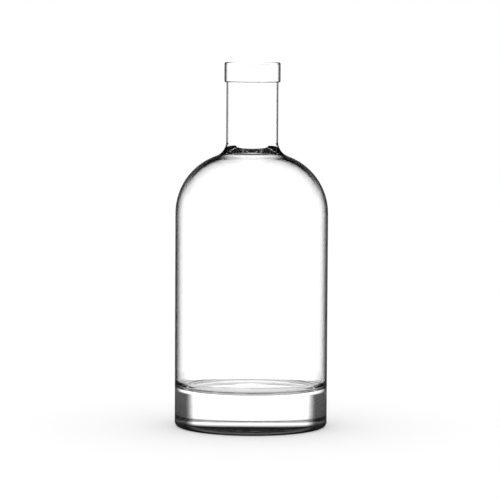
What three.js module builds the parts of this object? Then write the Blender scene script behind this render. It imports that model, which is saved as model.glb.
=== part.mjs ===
// Clear glass spirits bottle with a bar-top mouth for a cork stopper.
// One blown piece of glass: round body, domed shoulder, straight neck, mouth ring,
// a bore for the cork and a very thick solid base with a shallow push-up below.
// Millimetres, +Z up, origin at the centre of the circle that the bottle stands on.

import * as THREE from 'three';

// Driving dimensions: outside form
const BODY_DIAMETER = 88;
const SHOULDER_START = 123.2; // height where the straight side ends
const SHOULDER_RADIUS = 35;
const NECK_DIAMETER = 29.8;
const NECK_FILLET_RADIUS = 9; // hollow sweep from the shoulder into the neck
const NECK_LENGTH = 33.9; // straight neck between that sweep and the mouth ring
const HEEL_RADIUS = 4;

// Driving dimensions: mouth ring
const RING_HEIGHT = 11.5;
const RING_OVERHANG = 1.2; // how far the ring stands out from the neck
const RING_EDGE_RADIUS = 1.1;
const BORE_DIAMETER = 18.5;
const MOUTH_RADIUS = 1.6; // rounding from the bore onto the sealing face

// Driving dimensions: inside and underneath
const BODY_WALL = 2.6;
const BASE_THICKNESS = 19; // from the standing surface to the inner floor
const FLOOR_CORNER_RADIUS = 7;
const PUSH_UP_HEIGHT = 3;
const BEARING_WIDTH = 2.2; // flat ring that the bottle stands on

// Fineness of the turned surface
const SECTORS = 72;
const CHORD_ERROR = 0.05; // how far a straight facet may lie inside its arc

// Sizes that follow
const bodyRadius = BODY_DIAMETER / 2;
const neckRadius = NECK_DIAMETER / 2;
const ringRadius = neckRadius + RING_OVERHANG;
const boreRadius = BORE_DIAMETER / 2;
const innerBodyRadius = bodyRadius - BODY_WALL;
const neckWall = neckRadius - boreRadius;

// A shoulder is two tangent arcs: a dome that leaves a cylinder of radius `wide` at height
// `start`, and a hollow fillet that ends on a cylinder of radius `narrow`. Angles in degrees.
function shoulder(wide, narrow, start, domeRadius, filletRadius) {
  const dome = { r: wide - domeRadius, z: start };
  const filletR = narrow + filletRadius;
  const rise = Math.sqrt((domeRadius + filletRadius) ** 2 - (filletR - dome.r) ** 2);
  const fillet = { r: filletR, z: start + rise };
  const meeting = THREE.MathUtils.radToDeg(Math.atan2(rise, filletR - dome.r));
  return { dome, fillet, meeting, end: fillet.z };
}

// Points of an arc in the section plane, from one angle to another.
function arc(centre, radius, from, to) {
  const start = THREE.MathUtils.degToRad(from);
  const end = THREE.MathUtils.degToRad(to);
  const step = 2 * Math.acos(1 - CHORD_ERROR / radius);
  const steps = Math.ceil(Math.abs(end - start) / step);
  return new THREE.EllipseCurve(centre.r, centre.z, radius, radius, start, end, to < from).getPoints(steps);
}

// Push-up: a spherical cap from the axis down to the inner edge of the bearing ring.
function pushUp() {
  const edge = bodyRadius - HEEL_RADIUS - BEARING_WIDTH;
  const radius = (edge ** 2 + PUSH_UP_HEIGHT ** 2) / (2 * PUSH_UP_HEIGHT);
  const halfAngle = THREE.MathUtils.radToDeg(Math.asin(edge / radius));
  return arc({ r: 0, z: PUSH_UP_HEIGHT - radius }, radius, 90, 90 - halfAngle);
}

// Heel, straight side, shoulder and neck, up to the underside of the mouth ring.
function outerWall() {
  const heel = { r: bodyRadius - HEEL_RADIUS, z: HEEL_RADIUS };
  const top = shoulder(bodyRadius, neckRadius, SHOULDER_START, SHOULDER_RADIUS, NECK_FILLET_RADIUS);
  return [
    ...arc(heel, HEEL_RADIUS, -90, 0),
    ...arc(top.dome, SHOULDER_RADIUS, 0, top.meeting),
    ...arc(top.fillet, NECK_FILLET_RADIUS, 180 + top.meeting, 180),
  ];
}

// Mouth ring with rounded edges, the flat sealing face and the rounding into the bore.
function mouth(ringBottom, ringTop) {
  const low = { r: ringRadius - RING_EDGE_RADIUS, z: ringBottom + RING_EDGE_RADIUS };
  const high = { r: ringRadius - RING_EDGE_RADIUS, z: ringTop - RING_EDGE_RADIUS };
  const lip = { r: boreRadius + MOUTH_RADIUS, z: ringTop - MOUTH_RADIUS };
  return [
    new THREE.Vector2(neckRadius, ringBottom),
    ...arc(low, RING_EDGE_RADIUS, -90, 0),
    ...arc(high, RING_EDGE_RADIUS, 0, 90),
    ...arc(lip, MOUTH_RADIUS, 90, 180),
  ];
}

// Bore, the inside of the shoulder, the inner wall and the floor above the thick base.
function innerWall() {
  const domeRadius = SHOULDER_RADIUS - BODY_WALL;
  const filletRadius = NECK_FILLET_RADIUS + neckWall;
  const top = shoulder(innerBodyRadius, boreRadius, SHOULDER_START, domeRadius, filletRadius);
  const corner = { r: innerBodyRadius - FLOOR_CORNER_RADIUS, z: BASE_THICKNESS + FLOOR_CORNER_RADIUS };
  return [
    ...arc(top.fillet, filletRadius, 180, 180 + top.meeting),
    ...arc(top.dome, domeRadius, top.meeting, 0),
    ...arc(corner, FLOOR_CORNER_RADIUS, 0, -90),
    new THREE.Vector2(0, BASE_THICKNESS),
  ];
}

// Points that repeat where two stretches meet are kept once.
function joined(points) {
  return points.filter((point, i) => i === 0 || point.distanceTo(points[i - 1]) > 1e-6);
}

function makeBottle() {
  const outerTop = shoulder(bodyRadius, neckRadius, SHOULDER_START, SHOULDER_RADIUS, NECK_FILLET_RADIUS).end;
  const ringBottom = outerTop + NECK_LENGTH;
  const section = joined([
    ...pushUp(),
    ...outerWall(),
    ...mouth(ringBottom, ringBottom + RING_HEIGHT),
    ...innerWall(),
  ]);
  section[0].x = 0;
  const geometry = new THREE.LatheGeometry(section, SECTORS);
  geometry.rotateX(Math.PI / 2);
  const glass = new THREE.MeshStandardMaterial({ color: 0xeef3f2, roughness: 0.03, metalness: 0 });
  glass.transparent = true;
  glass.opacity = 0.35;
  const bottle = new THREE.Mesh(geometry, glass);
  bottle.name = 'bottle';
  return bottle;
}

const part = new THREE.Group();
part.add(makeBottle());

export default part;
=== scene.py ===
"""Clear glass spirits bottle with a bar-top mouth, set in a plain bright studio.

The glass is one turned section: push-up, bearing ring, heel, straight side, domed shoulder, neck, mouth
ring, bore and the rounded floor above the thick base.
"""

import math

import bpy
from bpy.props import FloatProperty, FloatVectorProperty, IntProperty, PointerProperty
from bpy.types import Operator, Panel, PropertyGroup
from mathutils import Euler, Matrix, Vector


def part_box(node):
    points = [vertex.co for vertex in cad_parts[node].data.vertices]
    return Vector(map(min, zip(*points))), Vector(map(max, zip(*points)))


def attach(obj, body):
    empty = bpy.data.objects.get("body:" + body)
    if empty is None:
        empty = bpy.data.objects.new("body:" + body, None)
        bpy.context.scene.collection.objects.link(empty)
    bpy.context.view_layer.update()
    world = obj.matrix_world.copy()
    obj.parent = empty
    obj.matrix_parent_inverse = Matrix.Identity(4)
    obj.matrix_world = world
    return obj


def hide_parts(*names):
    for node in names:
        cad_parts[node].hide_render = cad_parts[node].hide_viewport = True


bl_info = {
    "name": "Clear glass spirits bottle",
    "version": (1, 0, 0),
    "blender": (4, 5, 0),
    "location": "View3D > Sidebar > Bottle",
    "description": "Turns the glass of a round spirits bottle and sets it in a bright studio",
    "category": "Object",
}

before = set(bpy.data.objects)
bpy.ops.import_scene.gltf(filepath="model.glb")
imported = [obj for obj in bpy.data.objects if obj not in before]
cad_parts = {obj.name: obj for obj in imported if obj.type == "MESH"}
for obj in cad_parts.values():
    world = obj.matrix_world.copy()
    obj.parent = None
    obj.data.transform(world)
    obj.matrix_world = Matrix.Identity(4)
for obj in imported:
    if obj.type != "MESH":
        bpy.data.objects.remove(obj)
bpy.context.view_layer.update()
NODE_LOW, NODE_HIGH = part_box("bottle")
OUTWARD = "outward"
FLOOR_RADIUS = 3.0
WELD = 1e-6
SMOOTH_ANGLE = math.radians(40.0)

# From where the surface begins to count as the outer side to where it counts in full.
SIDE_TURN = (0.05, 0.3)

# Heights past both ends of the bottle.
BELOW = -0.01
ABOVE = 1.0

# Painted edge shade: the share of light that the glass's colour keeps as the outer surface turns from the
# view: 0 square on, 1 edge on. It stands in for the dark room that clear glass shows towards its outline.
# These are looks, set by the dark edges in the photograph. Glass on plain white has few of its own.
BODY_EDGE_SHADE = (
    (0.0, 1.0), (0.40, 1.0), (0.50, 0.83), (0.60, 0.56), (0.69, 0.17), (0.73, 0.06), (0.78, 0.005),
    (0.85, 0.004), (1.0, 0.08),
)
BASE_EDGE_SHADE = (
    (0.0, 1.0), (0.336, 1.0), (0.368, 0.5), (0.4025, 0.17), (0.4386, 0.035), (0.48, 0.006),
    (0.88, 0.006), (1.0, 0.15),
)
NECK_EDGE_SHADE = (
    (0.0, 1.0), (0.55, 1.0), (0.606, 0.5), (0.6655, 0.17), (0.728, 0.035), (0.80, 0.006),
    (0.87, 0.008), (1.0, 0.15),
)
RING_EDGE_SHADE = (
    (0.0, 1.0), (0.5, 1.0), (0.56, 0.5), (0.62, 0.12), (0.68, 0.02), (0.75, 0.004),
    (0.87, 0.006), (1.0, 0.15),
)
BASE_MARGIN = 0.001
BASE_SOFTNESS = 0.0006
NECK_SOFTNESS = 0.006
RING_SOFTNESS = 0.0002

# Painted shade: the heel's colour is made dark for light that enters there.
HEEL_TOP = 0.0035
HEEL_SOFTNESS = 0.0015
HEEL_SHADE_KEEPS = 0.01

# Thin lines of painted shade on the outer surface, standing in for the inner floor and the lip seen through
# the glass, at the heights where the photograph shows them: height, and the light that each keeps.
PAINTED_SHADE_LINES = ((0.02435, 0.1), (0.0272, 0.45), (0.0293, 0.7), (0.2088, 0.5))
LINE_HALF = 0.0004
STREAK_SCALE = 60.0
STREAK_RANGE = (0.3, 0.6)

# The stippled ring that the bottle stands on.
STIPPLE_TOP = 0.0032
STIPPLE_SOFTNESS = 0.0006
STIPPLE_FADE = 0.002
STIPPLE_ROUGHNESS = 0.3

# Depth of the waves that blowing leaves in the surface.
WAVE_HEIGHT = 0.00003

# The room is bright up to the first rise of a ray and dark from the second. Mirrored rays that have crossed
# the surface more often than this meet a bright room all round.
ROOM_RISE = (0.15, 0.3)
DEEP_CROSSINGS = 2.5

# Painted shade on the floor, seen only by rays mirrored inside the glass: distances from the axis between
# which the floor turns dark, and bright again.
DARK_RING_INNER = (0.04, 0.06)
DARK_RING_OUTER = (0.1, 0.075)


def length(name, description, default, **more):
    """A size in metres that a user may change."""
    return FloatProperty(
        name=name, description=description, default=default, unit="LENGTH", precision=5, **more)


class BottleSizes(PropertyGroup):
    """The bottle's section, in metres."""

    body_diameter: length("Body diameter", "Width of the straight side", NODE_HIGH[0] - NODE_LOW[0])
    height: length("Height", "From the standing ring to the sealing face", NODE_HIGH[2] - NODE_LOW[2])
    shoulder_start: length("Shoulder start", "Height where the straight side ends", 0.1232)
    shoulder_radius: length("Shoulder radius", "Radius of the domed shoulder", 0.035)
    neck_diameter: length("Neck diameter", "Width of the straight neck", 0.0298)
    neck_fillet: length("Neck fillet", "Radius of the hollow sweep into the neck", 0.009)
    flare_radius: length("Flare radius", "Rounding where the bore starts to widen", 0.004)
    flare_height: length("Flare height", "Height where the bore starts to widen", 0.1628)
    heel_radius: length("Heel radius", "Rounding between the side and the base", 0.0026)
    ring_height: length("Ring height", "Height of the mouth ring", 0.0115)
    ring_overhang: length("Ring overhang", "How far the mouth ring stands out from the neck", 0.0012)
    ring_edge: length("Ring edge", "Rounding of the mouth ring's edges", 0.0009)
    bore_diameter: length("Bore", "Width of the bore that takes the cork", 0.0185)
    mouth_radius: length("Mouth radius", "Rounding from the bore to the sealing face", 0.0016)
    wall: length("Wall", "Thickness of the straight side", 0.0024)
    base_thickness: length("Base thickness", "From the standing surface to the inner floor", 0.0228)
    floor_corner: length("Floor corner", "Rounding between the inner floor and the wall", 0.005)
    floor_slope: FloatProperty(name="Floor slope", description="Fall of the inner floor at its rim",
                               default=math.radians(1.0), unit="ROTATION")
    push_up: length("Push-up", "Height of the hollow under the base", 0.003)
    bearing_width: length("Bearing width", "Width of the flat ring that the bottle stands on", 0.0012)
    sectors: IntProperty(name="Sectors", description="Steps around the axis", default=256, min=24)
    arc_step: FloatProperty(name="Arc step", description="Turn of one step along an arc",
                            default=math.radians(3.0), unit="ROTATION")


class GlassFinish(PropertyGroup):
    """Colour and surface of the glass."""

    ior: FloatProperty(name="Index of refraction", description="Soda-lime glass", default=1.52)
    roughness: FloatProperty(name="Roughness", description="Fire-polished surface", subtype="FACTOR",
                             default=0.0)


class StudioLook(PropertyGroup):
    """Floor, light and camera."""

    white: FloatVectorProperty(name="Ground", description="Colour of the floor and backdrop",
                               subtype="COLOR", size=3, min=0.0, max=1.0, default=(1.0, 1.0, 1.0))
    through: FloatProperty(name="Through", description="Backdrop's strength as seen through glass",
                           default=1.3)
    outer_mirror: FloatProperty(name="Outer mirror", description="Room's strength in outside reflections",
                                default=0.012)
    dark_room: FloatProperty(name="Dark room", description="Strength of the room's dark part above",
                             default=0.008)
    ambient: FloatProperty(name="Ambient", description="World's strength as a light", default=0.9)
    floor_albedo: FloatProperty(name="Floor", description="Floor's own colour", default=0.9)
    # Painted shade: the floor's dark colour for rays mirrored on the glass.
    floor_painted_shade: FloatProperty(name="Floor mirrored", description="Floor's colour in mirrored rays",
                                  default=0.06)
    floor_glow: FloatProperty(name="Floor glow", description="Lift of the floor to white", default=0.22)
    camera_distance: length("Camera distance", "Along the ground from the bottle's axis", 1.475)
    camera_height: length("Camera height", "Above the standing surface", 0.210)
    aim_height: length("Aim height", "Height on the axis at the centre of the view", 0.102)
    aim_offset: length("Aim offset", "How far the view's centre lies to the left of the axis", 0.0009)
    roll: FloatProperty(name="Roll", description="Turn of the camera about its view",
                        default=math.radians(0.31), unit="ROTATION")
    lens: FloatProperty(name="Lens", description="Focal length in millimetres", default=184.6)


def scene_part(name):
    """One of this file's property groups on the scene."""
    return getattr(bpy.context.scene, name)


def deselect_all():
    """Nothing is selected or active before a new piece is added."""
    if bpy.context.object and bpy.context.object.mode != "OBJECT":
        bpy.ops.object.mode_set(mode="OBJECT")
    bpy.ops.object.select_all(action="DESELECT")
    bpy.context.view_layer.objects.active = None


class SectionPen:
    """Draws a section in the XZ plane, in edit mode, one stretch after the other."""

    def __init__(self, name, radius, height, arc_step):
        deselect_all()
        bpy.ops.mesh.primitive_plane_add(size=0.01, location=(0.0, 0.0, 0.0))
        self.piece = bpy.context.object
        self.piece.name = name
        self.arc_step = arc_step
        self.at = (0.0, 0.0)
        bpy.ops.object.mode_set(mode="EDIT")
        bpy.ops.mesh.select_mode(type="VERT")
        bpy.ops.mesh.select_all(action="SELECT")
        bpy.ops.mesh.merge(type="CENTER")
        self._shift(radius, height)
        self.at = (radius, height)

    def _shift(self, x, z):
        bpy.ops.transform.translate(value=(x, 0.0, z))

    def line(self, radius, height):
        """A straight stretch to a point."""
        move = (radius - self.at[0], 0.0, height - self.at[1])
        if math.hypot(move[0], move[2]) < 1e-7:
            return
        bpy.ops.mesh.extrude_region_move(TRANSFORM_OT_translate={"value": move})
        self.at = (radius, height)

    def arc(self, centre, degrees):
        """A round stretch about a centre. Positive degrees turn from +X towards +Z, as spin about +Y does."""
        angle = math.radians(degrees)
        steps = max(2, math.ceil(abs(angle) / self.arc_step))
        middle = (centre[0], 0.0, centre[1])
        bpy.ops.mesh.spin(steps=steps, angle=angle, center=middle, axis=(0.0, 1.0, 0.0))
        x, z = self.at[0] - centre[0], self.at[1] - centre[1]
        self.at = (
            centre[0] + x * math.cos(angle) - z * math.sin(angle),
            centre[1] + x * math.sin(angle) + z * math.cos(angle),
        )

    def turn(self, sectors):
        """Turns the section about the axis into a closed body with its faces outwards."""
        bpy.ops.mesh.select_all(action="SELECT")
        bpy.ops.mesh.spin(steps=sectors, angle=math.tau, center=(0.0, 0.0, 0.0), axis=(0.0, 0.0, 1.0))
        bpy.ops.mesh.select_all(action="SELECT")
        bpy.ops.mesh.remove_doubles(threshold=WELD)
        bpy.ops.mesh.normals_make_consistent(inside=False)
        bpy.ops.object.mode_set(mode="OBJECT")
        bpy.ops.object.shade_smooth_by_angle(angle=SMOOTH_ANGLE)
        return self.piece


def shoulder_arcs(wide, narrow, start, dome_radius, fillet_radius):
    """Centres of the dome and of the hollow fillet, and the angle in degrees at which they meet."""
    dome = (wide - dome_radius, start)
    fillet_x = narrow + fillet_radius
    rise = math.sqrt((dome_radius + fillet_radius) ** 2 - (fillet_x - dome[0]) ** 2)
    meeting = math.degrees(math.atan2(rise, fillet_x - dome[0]))
    return dome, (fillet_x, start + rise), meeting


def draw_outside(pen, s):
    """Push-up, bearing ring, heel, side, shoulder and neck."""
    body, neck = s.body_diameter / 2, s.neck_diameter / 2
    inner_edge = body - s.heel_radius - s.bearing_width
    cap_radius = (inner_edge ** 2 + s.push_up ** 2) / (2 * s.push_up)
    pen.arc((0.0, s.push_up - cap_radius), -math.degrees(math.asin(inner_edge / cap_radius)))
    pen.line(body - s.heel_radius, 0.0)
    pen.arc((body - s.heel_radius, s.heel_radius), 90.0)
    pen.line(body, s.shoulder_start)
    dome, fillet, meeting = shoulder_arcs(body, neck, s.shoulder_start, s.shoulder_radius, s.neck_fillet)
    pen.arc(dome, meeting)
    pen.arc(fillet, -meeting)
    pen.line(neck, s.height - s.ring_height)


def draw_mouth(pen, s):
    """The mouth ring, its rounded edges, the sealing face and the rounding into the bore."""
    ring = s.neck_diameter / 2 + s.ring_overhang
    bottom, edge = s.height - s.ring_height, s.ring_edge
    pen.line(ring - edge, bottom)
    pen.arc((ring - edge, bottom + edge), 90.0)
    pen.line(ring, s.height - edge)
    pen.arc((ring - edge, s.height - edge), 90.0)
    lip = (s.bore_diameter / 2 + s.mouth_radius, s.height - s.mouth_radius)
    pen.line(lip[0], s.height)
    pen.arc(lip, 90.0)


def draw_inside(pen, s):
    """Bore, its flare into the shoulder, the wall, and the floor above the thick base."""
    body, bore = s.body_diameter / 2 - s.wall, s.bore_diameter / 2
    dome, fillet, meeting = shoulder_arcs(
        s.body_diameter / 2, s.neck_diameter / 2, s.shoulder_start, s.shoulder_radius, s.neck_fillet)
    sweep = s.neck_fillet + s.wall
    flare = (bore + s.flare_radius, s.flare_height)
    across, up = fillet[0] - flare[0], fillet[1] - flare[1]
    slant = math.atan2(up, across) + math.acos((sweep - s.flare_radius) / math.hypot(across, up))
    pen.line(bore, s.flare_height)
    pen.arc(flare, math.degrees(slant))
    pen.line(fillet[0] - sweep * math.cos(slant), fillet[1] - sweep * math.sin(slant))
    pen.arc(fillet, meeting - math.degrees(slant))
    pen.arc(dome, -meeting)
    floor_radius = (body - s.floor_corner) / math.sin(s.floor_slope) - s.floor_corner
    floor_centre = (0.0, s.base_thickness - floor_radius)
    corner_height = floor_centre[1] + (floor_radius + s.floor_corner) * math.cos(s.floor_slope)
    corner = (body - s.floor_corner, corner_height)
    pen.line(body, corner_height)
    pen.arc(corner, -90.0 - math.degrees(s.floor_slope))
    pen.arc(floor_centre, math.degrees(s.floor_slope))


def put(tree, socket, value):
    """Gives a socket a number, a tuple or a link."""
    if isinstance(value, bpy.types.NodeSocket):
        tree.links.new(value, socket)
    else:
        socket.default_value = value


def number(tree, operation, first, second):
    """A Math node. Each input is a socket or a number."""
    node = tree.nodes.new("ShaderNodeMath")
    node.operation = operation
    put(tree, node.inputs[0], first)
    put(tree, node.inputs[1], second)
    return node.outputs[0]


def mixed(tree, factor, first, second):
    """Mix of two numbers or sockets."""
    mix = tree.nodes.new("ShaderNodeMix")
    put(tree, mix.inputs["Factor"], factor)
    put(tree, mix.inputs["A"], first)
    put(tree, mix.inputs["B"], second)
    return mix.outputs["Result"]


def ramp(tree, value, low, high):
    """0 at or below low, 1 at or above high, smooth between."""
    node = tree.nodes.new("ShaderNodeMapRange")
    node.interpolation_type = "SMOOTHSTEP"
    put(tree, node.inputs["Value"], value)
    put(tree, node.inputs["From Min"], low)
    put(tree, node.inputs["From Max"], high)
    return node.outputs[0]


def fade(tree, value, start, end):
    """0 at the start, 1 at the end, straight between. The end may be the lower of the two."""
    node = tree.nodes.new("ShaderNodeMapRange")
    put(tree, node.inputs["Value"], value)
    put(tree, node.inputs["From Min"], start)
    put(tree, node.inputs["From Max"], end)
    return node.outputs[0]


def grey(tree, level):
    """A grey of the given level."""
    node = tree.nodes.new("ShaderNodeCombineColor")
    for channel in node.inputs:
        tree.links.new(level, channel)
    return node.outputs[0]


def edge_curve(tree, facing, stops):
    """Painted edge shade: light that is kept, in straight stretches between (facing, light) stops."""
    curve = tree.nodes.new("ShaderNodeFloatCurve")
    points = curve.mapping.curves[0].points
    points[0].location = stops[0]
    points[1].location = stops[-1]
    for stop in stops[1:-1]:
        points.new(*stop)
    for point in points:
        point.handle_type = "VECTOR"
    curve.mapping.update()
    tree.links.new(facing, curve.inputs["Value"])
    return curve.outputs[0]


def shaded(tree, light, mask, keeps):
    """Light behind a mask that keeps only a share of it."""
    return number(tree, "MULTIPLY", light, mixed(tree, mask, 1.0, keeps))


def group_of(name, inputs, outputs):
    """An empty node group with number sockets, and its input and output nodes."""
    tree = bpy.data.node_groups.new(name, "ShaderNodeTree")
    for label, default in inputs.items():
        kind = "NodeSocketVector" if label == "Place" else "NodeSocketFloat"
        socket = tree.interface.new_socket(name=label, in_out="INPUT", socket_type=kind)
        if kind == "NodeSocketFloat":
            socket.default_value = default
    for label in outputs:
        tree.interface.new_socket(name=label, in_out="OUTPUT", socket_type="NodeSocketFloat")
    return tree, tree.nodes.new("NodeGroupInput"), tree.nodes.new("NodeGroupOutput")


def placed(tree, group, **values):
    """A copy of a node group in a material, with its own values or links."""
    node = tree.nodes.new("ShaderNodeGroup")
    node.node_tree = group
    for label, value in values.items():
        put(tree, node.inputs[label], value)
    return node.outputs[0]


def height_band_group():
    """Mask of a stretch of the bottle between two heights, with soft ends."""
    tree, given, result = group_of(
        "height_band", {"Height": 0.0, "From": 0.0, "To": 0.1, "Softness": 0.001}, ["Mask"])
    ends = []
    for edge in ("From", "To"):
        low = number(tree, "SUBTRACT", given.outputs[edge], given.outputs["Softness"])
        high = number(tree, "ADD", given.outputs[edge], given.outputs["Softness"])
        ends.append(ramp(tree, given.outputs["Height"], low, high))
    tree.links.new(number(tree, "SUBTRACT", ends[0], ends[1]), result.inputs["Mask"])
    return tree


def blown_surface_group():
    """Height of the slow waves and fine ripples that blown glass keeps."""
    sizes = {"Place": None, "Wave size": 0.02, "Ripple size": 0.004, "Ripple share": 0.15}
    tree, given, result = group_of("blown_surface", sizes, ["Height"])
    layers = []
    for label in ("Wave size", "Ripple size"):
        noise = tree.nodes.new("ShaderNodeTexNoise")
        noise.inputs["Detail"].default_value = 1.0
        tree.links.new(given.outputs["Place"], noise.inputs["Vector"])
        tree.links.new(number(tree, "DIVIDE", 1.0, given.outputs[label]), noise.inputs["Scale"])
        layers.append(noise.outputs[0])
    tree.links.new(mixed(tree, given.outputs["Ripple share"], *layers), result.inputs["Height"])
    return tree


def mark_outward(piece):
    """Keeps on each point how far its surface faces away from the bottle's axis: 0 inside, 1 outside."""
    mark = piece.data.attributes.new(OUTWARD, "FLOAT", "POINT")
    for point, value in zip(piece.data.vertices, mark.data):
        away = Vector((point.co.x, point.co.y, 0.0)).normalized()
        value.value = max(0.0, point.normal.dot(away))


def painted_edge_shade(tree, band, height, s):
    """Painted edge shade: light that the outer surface's colour keeps by the angle at which it is seen, with
    a curve for each stretch.
    """
    weight = tree.nodes.new("ShaderNodeLayerWeight")
    weight.inputs["Blend"].default_value = 0.5
    facing = weight.outputs["Facing"]
    light = edge_curve(tree, facing, BODY_EDGE_SHADE)
    stretches = (
        (BELOW, s.base_thickness - BASE_MARGIN, BASE_SOFTNESS, BASE_EDGE_SHADE),
        (s.shoulder_start + s.shoulder_radius, ABOVE, NECK_SOFTNESS, NECK_EDGE_SHADE),
        (s.height - s.ring_height, ABOVE, RING_SOFTNESS, RING_EDGE_SHADE),
    )
    for low, high, softness, stops in stretches:
        stretch = placed(tree, band, Height=height, From=low, To=high, Softness=softness)
        light = mixed(tree, stretch, light, edge_curve(tree, facing, stops))
    return light


def with_painted_lines(tree, band, height, place, near, light):
    """Light after the thin, uneven lines of painted shade on the near side."""
    streak = tree.nodes.new("ShaderNodeTexNoise")
    streak.inputs["Scale"].default_value = STREAK_SCALE
    tree.links.new(place, streak.inputs["Vector"])
    near = number(tree, "MULTIPLY", near, ramp(tree, streak.outputs[0], *STREAK_RANGE))
    for middle, keeps in PAINTED_SHADE_LINES:
        low, high = middle - LINE_HALF, middle + LINE_HALF
        line = placed(tree, band, Height=height, From=low, To=high, Softness=LINE_HALF)
        light = shaded(tree, light, number(tree, "MULTIPLY", line, near), keeps)
    return light


def standing_roughness(tree, band, height, place, finish, s):
    """Polished all over, but for the stippled ring that the bottle stands on."""
    stipple = placed(tree, band, Height=height, From=BELOW, To=STIPPLE_TOP, Softness=STIPPLE_SOFTNESS)
    flat = tree.nodes.new("ShaderNodeVectorMath")
    flat.operation = "MULTIPLY"
    flat.inputs[1].default_value = (1.0, 1.0, 0.0)
    tree.links.new(place, flat.inputs[0])
    radius = tree.nodes.new("ShaderNodeVectorMath")
    radius.operation = "LENGTH"
    tree.links.new(flat.outputs[0], radius.inputs[0])
    inner_edge = s.body_diameter / 2 - s.heel_radius - s.bearing_width
    ring = ramp(tree, radius.outputs["Value"], inner_edge - STIPPLE_FADE, inner_edge)
    return mixed(tree, number(tree, "MULTIPLY", stipple, ring), finish.roughness, STIPPLE_ROUGHNESS)


def clear_glass(finish, s):
    """Fire-polished clear glass, stippled where it stands, with painted shade in its colour: darker where it
    is looked through edge on, dark at the heel and in thin lines on the near side.
    """
    material = bpy.data.materials.new("clear_glass")
    material.use_nodes = True
    tree = material.node_tree
    nodes, links = tree.nodes, tree.links
    shader = nodes["Principled BSDF"]
    shader.inputs["Metallic"].default_value = 0.0
    shader.inputs["IOR"].default_value = finish.ior
    shader.inputs["Transmission Weight"].default_value = 1.0

    place = nodes.new("ShaderNodeTexCoord").outputs["Object"]
    axes = nodes.new("ShaderNodeSeparateXYZ")
    links.new(place, axes.inputs[0])
    height = axes.outputs["Z"]
    band = height_band_group()
    outward = nodes.new("ShaderNodeAttribute")
    outward.attribute_name = OUTWARD
    side = ramp(tree, outward.outputs["Fac"], *SIDE_TURN)
    leaving = nodes.new("ShaderNodeNewGeometry").outputs["Backfacing"]
    entering = number(tree, "SUBTRACT", 1.0, leaving)

    # Painted shade: the glass's colour darkens towards its outline on the outer surface.
    light = mixed(tree, side, 1.0, painted_edge_shade(tree, band, height, s))
    # Painted shade at the heel, for rays that enter there.
    heel = placed(tree, band, Height=height, From=BELOW, To=HEEL_TOP, Softness=HEEL_SOFTNESS)
    light = shaded(tree, light, number(tree, "MULTIPLY", heel, entering), HEEL_SHADE_KEEPS)
    # Painted shade: thin dark lines on the near side, where rays enter the outer surface.
    near = number(tree, "MULTIPLY", entering, side)
    light = with_painted_lines(tree, band, height, place, near, light)
    links.new(grey(tree, light), shader.inputs["Base Color"])
    links.new(standing_roughness(tree, band, height, place, finish, s), shader.inputs["Roughness"])

    bump = nodes.new("ShaderNodeBump")
    bump.inputs["Strength"].default_value = 1.0
    bump.inputs["Distance"].default_value = WAVE_HEIGHT
    links.new(placed(tree, blown_surface_group(), Place=place), bump.inputs["Height"])
    links.new(bump.outputs[0], shader.inputs["Normal"])
    return material


class BOTTLE_OT_glass(Operator):
    """Turn the bottle's glass from its section"""

    bl_idname = "bottle.glass"
    bl_label = "Bottle glass"

    def execute(self, context):
        sizes = scene_part("bottle_sizes")
        pen = SectionPen("bottle_glass", 0.0, sizes.push_up, sizes.arc_step)
        draw_outside(pen, sizes)
        draw_mouth(pen, sizes)
        draw_inside(pen, sizes)
        glass = pen.turn(sizes.sectors)
        mark_outward(glass)
        glass.data.materials.clear()
        glass.data.materials.append(clear_glass(scene_part("glass_finish"), sizes))
        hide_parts("bottle")
        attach(glass, "root")
        return {"FINISHED"}


def ray_brightness(tree, look, rise):
    """How bright the studio is for each kind of ray. rise is the ray's direction, from -1 down to 1 up."""
    path = tree.nodes.new("ShaderNodeLightPath")
    mirrored = number(tree, "GREATER_THAN", path.outputs["Glossy Depth"], 0.5)
    entered = number(tree, "GREATER_THAN", path.outputs["Transmission Depth"], 0.5)
    diffuse = number(tree, "GREATER_THAN", path.outputs["Diffuse Depth"], 0.5)
    deep = number(tree, "GREATER_THAN", path.outputs["Transmission Depth"], DEEP_CROSSINGS)
    room = mixed(tree, fade(tree, rise, *ROOM_RISE), look.through, look.dark_room)
    inside = mixed(tree, deep, room, look.through)
    glossy = mixed(tree, entered, look.outer_mirror, inside)
    glass = mixed(tree, mirrored, room, glossy)
    lit = mixed(tree, diffuse, glass, look.ambient)
    return mixed(tree, path.outputs["Is Camera Ray"], lit, 1.0)


def bright_world(look):
    """White behind the glass. What the glass mirrors on its outside, or bends upwards, is a dark room."""
    world = bpy.data.worlds.new("studio")
    bpy.context.scene.world = world
    world.use_nodes = True
    nodes, links = world.node_tree.nodes, world.node_tree.links
    direction = nodes.new("ShaderNodeTexCoord")
    axes = nodes.new("ShaderNodeSeparateXYZ")
    links.new(direction.outputs["Generated"], axes.inputs[0])
    background = nodes["Background"]
    background.inputs["Color"].default_value = (*look.white, 1.0)
    links.new(ray_brightness(world.node_tree, look, axes.outputs["Z"]), background.inputs["Strength"])


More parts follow.
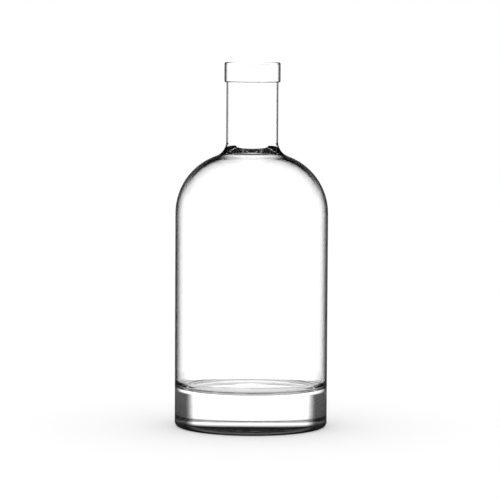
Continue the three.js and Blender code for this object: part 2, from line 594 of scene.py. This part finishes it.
def bright_floor(look):
    """Wide white floor, with painted shade: rays mirrored on the glass find it dark, those mirrored inside it
    only close by.
    """
    deselect_all()
    bpy.ops.mesh.primitive_circle_add(vertices=96, radius=FLOOR_RADIUS, fill_type="NGON")
    floor = bpy.context.object
    floor.name = "floor"
    material = bpy.data.materials.new("white_floor")
    material.use_nodes = True
    tree = material.node_tree
    nodes, links = tree.nodes, tree.links
    shader = nodes["Principled BSDF"]
    shader.inputs["Roughness"].default_value = 1.0
    shader.inputs["Specular IOR Level"].default_value = 0.0
    path = nodes.new("ShaderNodeLightPath")
    mirrored = number(tree, "GREATER_THAN", path.outputs["Glossy Depth"], 0.5)
    through = number(tree, "GREATER_THAN", path.outputs["Transmission Depth"], 0.5)
    place = nodes.new("ShaderNodeTexCoord")
    across = nodes.new("ShaderNodeVectorMath")
    across.operation = "LENGTH"
    links.new(place.outputs["Object"], across.inputs[0])
    ring = number(tree, "MULTIPLY", fade(tree, across.outputs["Value"], *DARK_RING_INNER),
                  fade(tree, across.outputs["Value"], *DARK_RING_OUTER))
    # Painted shade: the floor's colour turns dark for rays mirrored on the glass, and in a ring close by for
    # rays mirrored inside it.
    dark = number(tree, "MULTIPLY", mirrored, mixed(tree, through, 1.0, ring))
    paint = mixed(tree, dark, look.floor_albedo, look.floor_painted_shade)
    links.new(grey(tree, paint), shader.inputs["Base Color"])
    shader.inputs["Emission Color"].default_value = (*look.white, 1.0)
    own = mixed(tree, through, look.floor_glow, look.floor_glow + look.through - 1.0)
    glow = number(tree, "MULTIPLY", own, number(tree, "SUBTRACT", 1.0, dark))
    links.new(glow, shader.inputs["Emission Strength"])
    floor.data.materials.append(material)


def photo_camera(look):
    """The photograph's view."""
    aim = Vector((-look.aim_offset, 0.0, look.aim_height))
    place = Vector((-look.aim_offset, -look.camera_distance, look.camera_height))
    turn = (aim - place).to_track_quat("-Z", "Y") @ Euler((0.0, 0.0, look.roll)).to_quaternion()
    deselect_all()
    bpy.ops.object.camera_add(location=place, rotation=turn.to_euler())
    camera = bpy.context.object
    camera.name = "photo_camera"
    camera.data.lens = look.lens
    camera.data.sensor_width = 36.0
    camera.data.clip_end = 20.0
    bpy.context.scene.camera = camera


class BOTTLE_OT_studio(Operator):
    """Add the floor, the light and the camera"""

    bl_idname = "bottle.studio"
    bl_label = "Studio"

    def execute(self, context):
        look = scene_part("studio_look")
        context.scene.view_settings.view_transform = "Standard"
        bright_world(look)
        bright_floor(look)
        photo_camera(look)
        return {"FINISHED"}


class BOTTLE_PT_panel(Panel):
    """Lists the bottle's steps and sizes"""

    bl_idname = "BOTTLE_PT_panel"
    bl_label = "Spirits bottle"
    bl_space_type = "VIEW_3D"
    bl_region_type = "UI"
    bl_category = "Bottle"

    def draw(self, context):
        for step in (BOTTLE_OT_studio, BOTTLE_OT_glass):
            self.layout.operator(step.bl_idname)
        for name in PARTS:
            part = scene_part(name)
            for key in part.__annotations__:
                self.layout.prop(part, key)


PARTS = {"bottle_sizes": BottleSizes, "glass_finish": GlassFinish, "studio_look": StudioLook}
CLASSES = (*PARTS.values(), BOTTLE_OT_glass, BOTTLE_OT_studio, BOTTLE_PT_panel)


def register():
    """Adds the classes and their settings on the scene."""
    for cls in CLASSES:
        bpy.utils.register_class(cls)
    for name, group in PARTS.items():
        setattr(bpy.types.Scene, name, PointerProperty(type=group))


def unregister():
    """Takes the settings and the classes away again."""
    for name in PARTS:
        delattr(bpy.types.Scene, name)
    for cls in reversed(CLASSES):
        bpy.utils.unregister_class(cls)


def main():
    """Builds the scene."""
    register()
    bpy.ops.bottle.studio()
    bpy.ops.bottle.glass()


if __name__ == "__main__":
    main()
